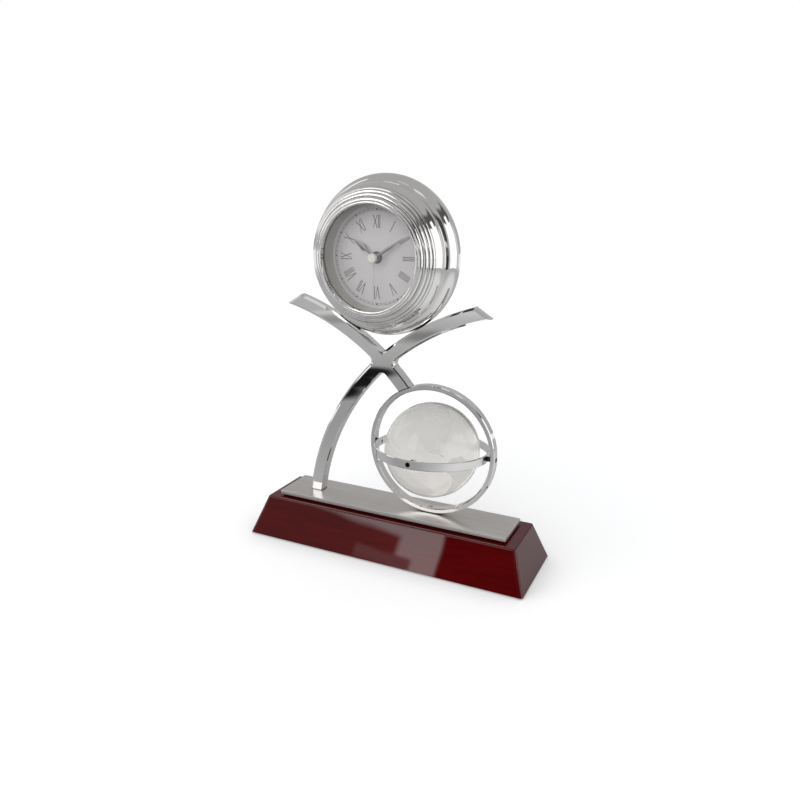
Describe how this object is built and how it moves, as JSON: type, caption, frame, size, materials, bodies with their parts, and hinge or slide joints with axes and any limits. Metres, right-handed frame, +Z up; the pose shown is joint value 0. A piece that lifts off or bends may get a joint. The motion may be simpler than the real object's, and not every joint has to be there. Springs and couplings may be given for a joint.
{
  "type": "table clock with globe",
  "caption": "Table clock: chromed drum on a crossed arc frame, wooden base with a brushed plate, and a crystal globe in a gimbal ring.",
  "frame": {"origin": "middle of the felt underside of the base, on the surface that the clock stands on", "axes": "+X along the base to the right seen from the front, +Y to the back, +Z up"},
  "size_m": [0.1934, 0.0734, 0.2384],
  "materials": {
    "felt": "dense dark felt",
    "lacquered_wood": "dark red mahogany stain under a high gloss lacquer",
    "black_pad": "thin dark spacer",
    "brushed_plate": "fine brushed, bright bevelled edge",
    "steel": "plain machined steel",
    "chrome": "mirror polished chrome plate",
    "black_steel": "black oxide",
    "crystal": "clear crystal with frosted land masses",
    "window_glass": "clear flat mineral glass",
    "rim": "satin olive grey",
    "dial_face": "satin silver with a lilac tint",
    "black_plastic": "fine moulded texture",
    "cell_jacket": "plain printed jacket",
    "brass": "turned",
    "hand_metal": "faceted grey metal",
    "pale_metal": "satin silver",
    "ivory": "smooth ivory",
    "wheel_plastic": "smooth moulded acetal",
    "board": "circuit board",
    "copper": "enamelled winding"
  },
  "bodies": {
    "stand": {"base_felt": "felt", "base_block": "lacquered_wood", "plate_pad": "black_pad", "top_plate": "brushed_plate", "foot_screw": "steel", "ring_screw": "steel", "cross_frame": "chrome", "globe_ring": "chrome", "arm_screw": "steel", "pivot_screws": "black_steel", "case_body": "chrome", "case_screws": "steel", "bezel": "chrome", "glass": "window_glass", "inner_rim": "rim", "dial": "dial_face", "movement_holder": "black_plastic", "bezel_screws": "steel", "rear_cover": "black_plastic", "cover_screws": "steel", "movement_case": "black_plastic", "movement_cover": "black_plastic", "battery": "cell_jacket", "battery_contacts": "steel", "movement_bridge": "wheel_plastic", "circuit_board": "board", "motor_stator": "steel", "motor_coil": "copper"},
    "gimbal": {"gimbal_ring": "chrome", "globe_pins": "black_steel"},
    "globe": {"crystal_globe": "crystal"},
    "hour_hand": {"hour_tube": "brass", "hour_wheel": "wheel_plastic", "hour_hand": "hand_metal"},
    "minute_hand": {"minute_tube": "brass", "minute_wheel": "wheel_plastic", "minute_hand": "hand_metal"},
    "second_hand": {"second_arbor": "steel", "second_wheel": "wheel_plastic", "second_hand": "pale_metal", "hand_cap": "ivory"},
    "set_knob": {"set_knob": "black_plastic"},
    "intermediate_wheel": {"intermediate_wheel": "wheel_plastic"},
    "third_wheel": {"third_wheel": "wheel_plastic"},
    "step_wheel": {"step_wheel": "wheel_plastic"},
    "rotor": {"motor_rotor": "wheel_plastic", "rotor_magnet": "black_steel"}
  },
  "joints": [
    {"name": "gimbal_tilt", "type": "hinge", "parent": "stand", "child": "gimbal", "pos_m": [0.0254, 0, 0.072], "axis": [1, 0, 0], "continuous": true},
    {"name": "globe_spin", "type": "hinge", "parent": "gimbal", "child": "globe", "pos_m": [0.0254, 0, 0.072], "axis": [0, 0.9979, -0.0654], "continuous": true},
    {"name": "second_hand_turn", "type": "hinge", "parent": "stand", "child": "second_hand", "pos_m": [-0.0081, 0, 0.19042], "axis": [0, 1, 0], "continuous": true},
    {"name": "minute_hand_turn", "type": "hinge", "parent": "stand", "child": "minute_hand", "pos_m": [-0.0081, 0, 0.19042], "axis": [0, 1, 0], "continuous": true},
    {"name": "hour_hand_turn", "type": "hinge", "parent": "stand", "child": "hour_hand", "pos_m": [-0.0081, 0, 0.19042], "axis": [0, 1, 0], "continuous": true},
    {"name": "set_knob_turn", "type": "hinge", "parent": "stand", "child": "set_knob", "pos_m": [0.0069, 0, 0.19978], "axis": [0, 1, 0], "continuous": true},
    {"name": "intermediate_wheel_turn", "type": "hinge", "parent": "stand", "child": "intermediate_wheel", "pos_m": [0.0015, 0, 0.19042], "axis": [0, 1, 0], "continuous": true},
    {"name": "third_wheel_turn", "type": "hinge", "parent": "stand", "child": "third_wheel", "pos_m": [-0.0166, 0, 0.19042], "axis": [0, 1, 0], "continuous": true},
    {"name": "step_wheel_turn", "type": "hinge", "parent": "stand", "child": "step_wheel", "pos_m": [-0.00077, 0, 0.18619], "axis": [0, 1, 0], "continuous": true},
    {"name": "rotor_turn", "type": "hinge", "parent": "stand", "child": "rotor", "pos_m": [0.00343, 0, 0.18619], "axis": [0, 1, 0], "continuous": true}
  ],
  "couplings": [
    {"joint": "minute_hand_turn", "follows": "second_hand_turn", "ratio": 0.016667},
    {"joint": "hour_hand_turn", "follows": "second_hand_turn", "ratio": 0.0013889},
    {"joint": "set_knob_turn", "follows": "second_hand_turn", "ratio": 0.011111},
    {"joint": "intermediate_wheel_turn", "follows": "second_hand_turn", "ratio": -0.0055556},
    {"joint": "third_wheel_turn", "follows": "second_hand_turn", "ratio": -0.13333},
    {"joint": "step_wheel_turn", "follows": "second_hand_turn", "ratio": -5},
    {"joint": "rotor_turn", "follows": "second_hand_turn", "ratio": 30}
  ]
}
